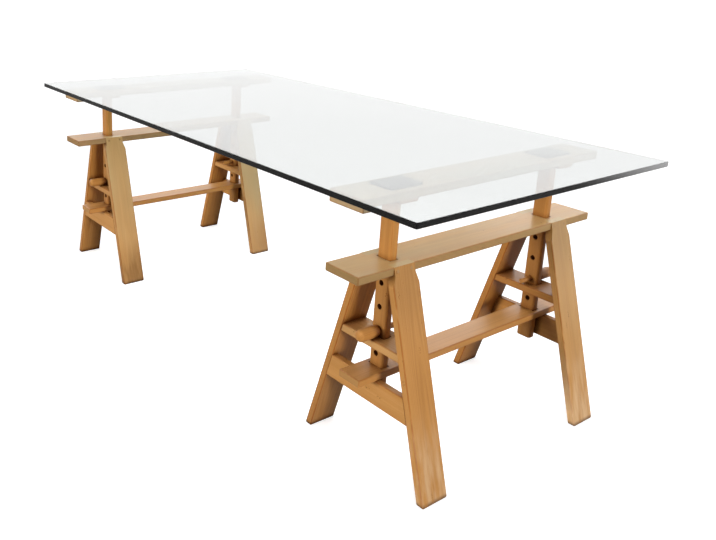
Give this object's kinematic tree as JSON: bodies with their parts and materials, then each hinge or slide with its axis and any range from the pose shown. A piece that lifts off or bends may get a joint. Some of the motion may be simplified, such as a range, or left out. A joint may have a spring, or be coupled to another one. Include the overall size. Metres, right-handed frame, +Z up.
{
  "type": "trestle table",
  "caption": "Rectangular glass table top resting on splay-legged timber trestles whose pegged posts set its height.",
  "frame": {"origin": "on the floor, under the middle of the table's overall outline", "axes": "+X along the length of the glass towards the trestle nearer the camera, +Y across it towards the far long edge, +Z up"},
  "size_m": [2.0268, 1, 0.76],
  "materials": {
    "beech": "satin varnished beech",
    "dowel_wood": "varnished end grain",
    "rubber": "matt",
    "glass": "clear, edges polished"
  },
  "bodies": {
    "right_frame": {"right_top_board": "beech", "right_front_outer_leg": "beech", "right_front_inner_leg": "beech", "right_back_outer_leg": "beech", "right_back_inner_leg": "beech", "right_front_cross_bar": "beech", "right_back_cross_bar": "beech", "right_front_rail": "beech", "right_back_rail": "beech", "right_stretcher": "beech", "right_leg_dowels": "dowel_wood"},
    "right_carriage": {"right_carrier": "beech", "right_front_post": "beech", "right_back_post": "beech", "right_front_batten": "beech", "right_back_batten": "beech", "right_front_pad": "rubber", "right_back_pad": "rubber"},
    "right_front_peg": {"right_front_peg": "beech"},
    "right_back_peg": {"right_back_peg": "beech"},
    "left_frame": {"left_top_board": "beech", "left_front_outer_leg": "beech", "left_front_inner_leg": "beech", "left_back_outer_leg": "beech", "left_back_inner_leg": "beech", "left_front_cross_bar": "beech", "left_back_cross_bar": "beech", "left_front_rail": "beech", "left_back_rail": "beech", "left_stretcher": "beech", "left_leg_dowels": "dowel_wood"},
    "left_carriage": {"left_carrier": "beech", "left_front_post": "beech", "left_back_post": "beech", "left_front_batten": "beech", "left_back_batten": "beech", "left_front_pad": "rubber", "left_back_pad": "rubber"},
    "left_front_peg": {"left_front_peg": "beech"},
    "left_back_peg": {"left_back_peg": "beech"},
    "glass_top": {"glass_top": "glass"}
  },
  "joints": [
    {"name": "left_trestle_slide", "type": "slide", "parent": "right_frame", "child": "left_frame", "axis": [1, 0, 0], "range_m": [-0.13, 0.3]},
    {"name": "right_height", "type": "slide", "parent": "right_frame", "child": "right_carriage", "axis": [0, 0, 1], "range_m": [0, 0.064]},
    {"name": "left_height", "type": "slide", "parent": "left_frame", "child": "left_carriage", "axis": [0, 0, 1], "range_m": [0, 0.064]},
    {"name": "glass_lift", "type": "slide", "parent": "right_carriage", "child": "glass_top", "axis": [0, 0, 1], "range_m": [0, 0.25]},
    {"name": "right_front_peg_pull", "type": "slide", "parent": "right_carriage", "child": "right_front_peg", "axis": [0, -1, 0], "range_m": [0, 0.08]},
    {"name": "right_back_peg_pull", "type": "slide", "parent": "right_carriage", "child": "right_back_peg", "axis": [0, 1, 0], "range_m": [0, 0.08]},
    {"name": "left_front_peg_pull", "type": "slide", "parent": "left_carriage", "child": "left_front_peg", "axis": [0, -1, 0], "range_m": [0, 0.08]},
    {"name": "left_back_peg_pull", "type": "slide", "parent": "left_carriage", "child": "left_back_peg", "axis": [0, 1, 0], "range_m": [0, 0.08]}
  ],
  "couplings": [
    {"joint": "left_height", "follows": "right_height", "ratio": 1}
  ]
}
